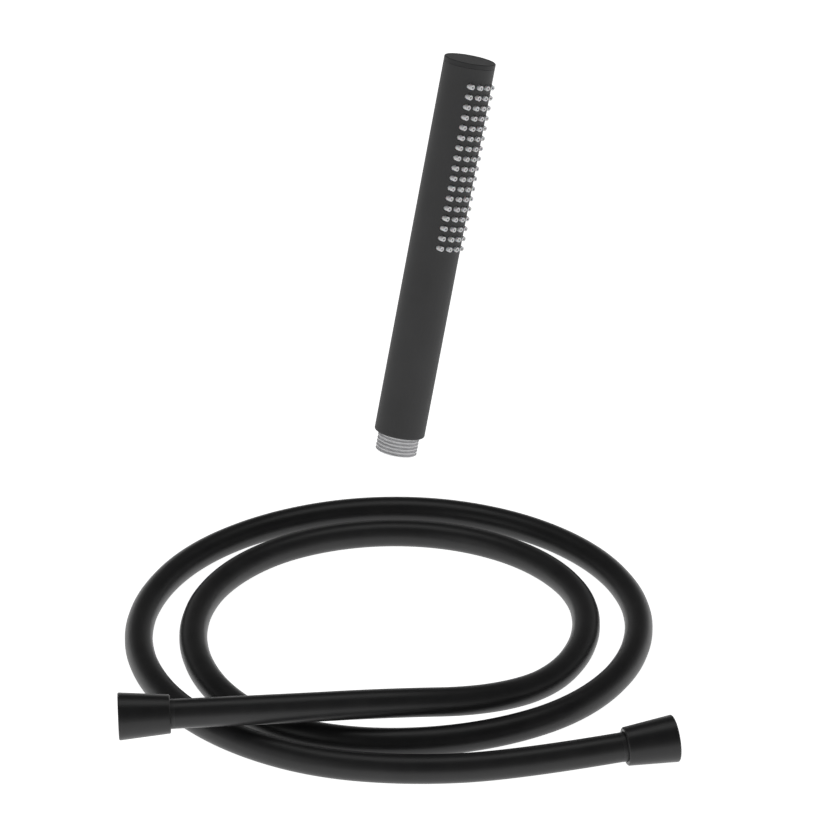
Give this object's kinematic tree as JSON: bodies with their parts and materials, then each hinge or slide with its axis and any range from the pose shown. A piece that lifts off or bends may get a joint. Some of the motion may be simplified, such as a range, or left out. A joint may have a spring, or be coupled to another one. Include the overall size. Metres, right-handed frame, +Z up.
{
  "type": "stick hand shower with hose",
  "caption": "Slim cylindrical hand shower with a side field of silicone nozzles and a threaded inlet, with its smooth hose laid beside it in two loose loops, a conical nut at each end.",
  "frame": {"origin": "middle of the end face of the handset's threaded inlet", "axes": "+Z up, away from the surface that the hose lies on; -Y towards the viewer; the handset leans 10.4 degrees to +X and 12 degrees back to +Y, its nozzles turned towards +X and the viewer"},
  "size_m": [0.2974, 0.2887, 0.3717],
  "materials": {
    "matt_black_metal": "matt, fine powder coat",
    "grey_silicone": "matt, slightly translucent silicone",
    "grey_plastic": "satin moulded plastic",
    "white_plastic": "satin moulded plastic",
    "black_rubber": "satin",
    "spring_steel": "bright",
    "black_pvc": "satin, smooth",
    "clear_liner": "smooth",
    "black_nut": "satin",
    "brass": "machined"
  },
  "bodies": {
    "handset": {"casing_tube": "matt_black_metal", "top_cap": "matt_black_metal", "cap_o_ring": "black_rubber", "nozzle_pad": "grey_silicone", "nozzle_plate": "white_plastic", "spray_chamber": "white_plastic", "inlet_core": "grey_plastic", "core_o_ring": "black_rubber", "chamber_o_ring": "black_rubber", "inlet_strainer": "spring_steel", "flow_limiter": "white_plastic", "limiter_o_ring": "black_rubber", "valve_body": "white_plastic", "valve_spring": "spring_steel"},
    "poppet": {"valve_poppet": "white_plastic", "valve_seal": "black_rubber"},
    "hose": {"hose_sheath": "black_pvc", "hose_liner": "clear_liner", "crimp_ferrule_a": "black_nut", "hose_tail_a": "brass", "nut_washer_a": "black_rubber", "crimp_ferrule_b": "black_nut", "hose_tail_b": "brass", "nut_washer_b": "black_rubber"},
    "slip_a": {"slip_ring_a": "white_plastic"},
    "nut_a": {"conical_nut_a": "black_nut"},
    "slip_b": {"slip_ring_b": "white_plastic"},
    "nut_b": {"conical_nut_b": "black_nut"}
  },
  "joints": [
    {"name": "valve_lift", "type": "slide", "parent": "handset", "child": "poppet", "axis": [0.1805, 0.2045, 0.9621], "range_m": [0, 0.0025], "stiffness_N_per_m": 250, "springref_m": -0.002, "deforming": ["valve_spring"]},
    {"name": "hose_lift", "type": "slide", "parent": "handset", "child": "hose", "axis": [0, 0, 1], "range_m": [0, 0.12]},
    {"name": "nut_a_slide", "type": "slide", "parent": "hose", "child": "slip_a", "axis": [0.9964, 0.0851, 0.0009], "range_m": [0, 0.012]},
    {"name": "nut_a_spin", "type": "hinge", "parent": "slip_a", "child": "nut_a", "pos_m": [-0.12696, -0.01422, -0.14751], "axis": [-0.9964, -0.0851, -0.0009], "continuous": true},
    {"name": "nut_b_slide", "type": "slide", "parent": "hose", "child": "slip_b", "axis": [-0.9755, -0.2131, -0.0555], "range_m": [0, 0.012]},
    {"name": "nut_b_spin", "type": "hinge", "parent": "slip_b", "child": "nut_b", "pos_m": [0.12811, -0.01834, -0.16243], "axis": [0.9755, 0.2131, 0.0555], "continuous": true}
  ]
}
